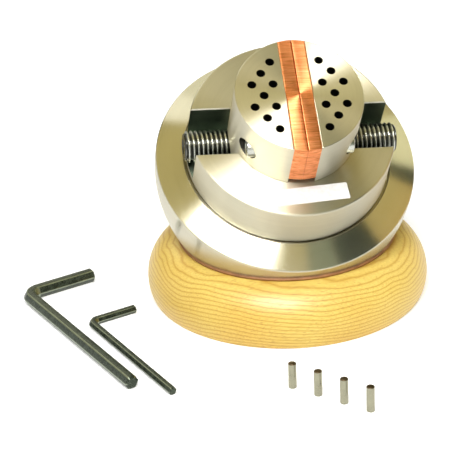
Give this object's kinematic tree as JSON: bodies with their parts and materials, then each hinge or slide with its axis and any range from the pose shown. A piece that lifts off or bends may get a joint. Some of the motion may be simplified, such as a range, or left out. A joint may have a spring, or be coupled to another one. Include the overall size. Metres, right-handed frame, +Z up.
{
  "type": "ball vise",
  "caption": "Ball vise: a steel ball swivels in a wooden ring and carries a turntable whose copper-lined jaws open and close together on a lead screw.",
  "frame": {"origin": "centre of the wooden ring's underside, on the bench", "axes": "+Z up from the bench; +Y away from the viewer's side towards the back; +X to the right, roughly along the lead screw, as it is stored"},
  "size_m": [0.1583, 0.1562, 0.104],
  "materials": {
    "oak": "satin oiled, turned",
    "leather": "smooth, worn",
    "ball_steel": "turned and polished",
    "head_steel": "satin ground",
    "screw_steel": "machined, oiled",
    "hard_steel": "ground and polished",
    "black_steel": "black oxide",
    "copper": "brushed copper",
    "bronze": "machined bronze",
    "brass": "stamped"
  },
  "bodies": {
    "base": {"wood_ring": "oak", "key_large": "black_steel", "key_small": "black_steel", "jaw_pins": "hard_steel"},
    "liner": {"leather_liner": "leather"},
    "ball": {"ball_body": "ball_steel", "spindle_bush": "bronze", "race_lower": "hard_steel"},
    "bearing": {"bearing_cage": "brass", "bearing_balls": "hard_steel"},
    "head": {"turntable": "head_steel", "race_upper": "hard_steel", "spindle": "screw_steel", "spindle_washer": "screw_steel", "spindle_nut": "black_steel", "saddle_base": "screw_steel", "saddle_cap": "screw_steel", "saddle_screws": "black_steel"},
    "screw": {"lead_screw": "screw_steel"},
    "left_jaw": {"jaw_left": "head_steel", "copper_pad_left": "copper", "pad_screws_left": "black_steel"},
    "right_jaw": {"jaw_right": "head_steel", "copper_pad_right": "copper", "pad_screws_right": "black_steel"}
  },
  "joints": [
    {"name": "ball_swivel", "type": "hinge", "parent": "base", "child": "liner", "pos_m": [0, 0, 0.0514], "axis": [0, 0, 1], "continuous": true},
    {"name": "ball_tilt", "type": "hinge", "parent": "liner", "child": "ball", "pos_m": [0, 0, 0.0514], "axis": [0.9778, 0.2096, 0], "range_deg": [-65.6, 0.5]},
    {"name": "turntable_spin", "type": "hinge", "parent": "ball", "child": "head", "pos_m": [0, 0, 0.0514], "axis": [0.1136, -0.5297, 0.8406], "continuous": true},
    {"name": "bearing_roll", "type": "hinge", "parent": "ball", "child": "bearing", "pos_m": [0, 0, 0.0514], "axis": [0.1136, -0.5297, 0.8406], "continuous": true},
    {"name": "screw_turn", "type": "hinge", "parent": "head", "child": "screw", "pos_m": [0.00173, -0.00806, 0.0642], "axis": [0.99, 0.1313, -0.051], "range_deg": [0, 2880]},
    {"name": "jaw_left_slide", "type": "slide", "parent": "head", "child": "left_jaw", "axis": [-0.99, -0.1313, 0.051], "range_m": [0, 0.014]},
    {"name": "jaw_right_slide", "type": "slide", "parent": "head", "child": "right_jaw", "axis": [0.99, 0.1313, -0.051], "range_m": [0, 0.014]}
  ],
  "couplings": [
    {"joint": "bearing_roll", "follows": "turntable_spin", "ratio": 0.5},
    {"joint": "jaw_left_slide", "follows": "screw_turn", "m_per_rad": 0.00027852},
    {"joint": "jaw_right_slide", "follows": "screw_turn", "m_per_rad": 0.00027852}
  ]
}
